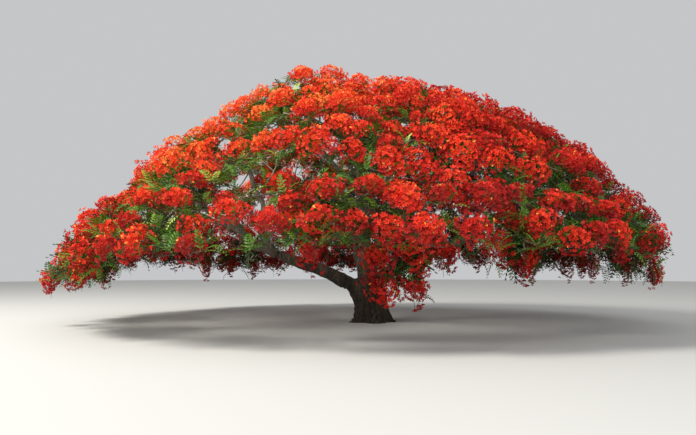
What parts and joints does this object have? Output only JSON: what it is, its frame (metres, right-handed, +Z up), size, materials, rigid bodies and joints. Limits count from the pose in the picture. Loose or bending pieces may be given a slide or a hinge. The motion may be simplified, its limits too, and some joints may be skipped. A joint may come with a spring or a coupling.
{
  "type": "flame tree",
  "caption": "Broad domed flame tree in full red blossom: a short forked trunk, spreading limbs and weeping masses of flowers and feathery leaves, rooted in level ground.",
  "frame": {"origin": "middle of the flat cut under the trunk, at ground level", "axes": "+X along the crown's widest spread, +Y away from the side seen in the picture, +Z up"},
  "size_m": [16.6247, 15.4731, 6.8613],
  "materials": {
    "bark": "rough grey-brown bark with fine rings and cracks",
    "blossom": "soft scarlet petals among small green leaves",
    "leaf": "soft feathery green leaves with some scarlet blossom"
  },
  "bodies": {
    "root": {"bough_crest_1": "bark", "bough_crest_2": "bark", "bough_crest_3": "bark", "bough_hem_back_a": "bark", "bough_hem_back_b": "bark", "bough_hem_front_a": "bark", "bough_hem_front_b": "bark", "bough_hem_left_a": "bark", "bough_hem_left_b": "bark", "bough_hem_right_a": "bark", "bough_hem_right_b": "bark", "bough_shoulder_back": "bark", "bough_shoulder_front": "bark", "bough_shoulder_left": "bark", "bough_shoulder_right": "bark", "foliage_crest_1": "blossom", "foliage_crest_2": "blossom", "foliage_crest_3": "blossom", "foliage_crest_4": "blossom", "foliage_crest_5": "blossom", "foliage_hem_1": "blossom", "foliage_hem_10": "blossom", "foliage_hem_11": "blossom", "foliage_hem_12": "blossom", "foliage_hem_2": "blossom", "foliage_hem_3": "blossom", "foliage_hem_4": "blossom", "foliage_hem_5": "blossom", "foliage_hem_6": "blossom", "foliage_hem_7": "blossom", "foliage_hem_8": "leaf", "foliage_hem_9": "blossom", "foliage_low_front": "blossom", "foliage_low_left": "blossom", "foliage_low_right": "blossom", "foliage_shoulder_1": "blossom", "foliage_shoulder_2": "blossom", "foliage_shoulder_3": "blossom", "foliage_shoulder_4": "blossom", "foliage_shoulder_5": "leaf", "foliage_shoulder_6": "blossom", "foliage_shoulder_7": "blossom", "foliage_shoulder_8": "blossom", "foliage_top": "blossom", "leader": "bark", "limb_back": "bark", "limb_front": "bark", "limb_left": "bark", "limb_right": "bark", "trunk": "bark"}
  },
  "joints": []
}
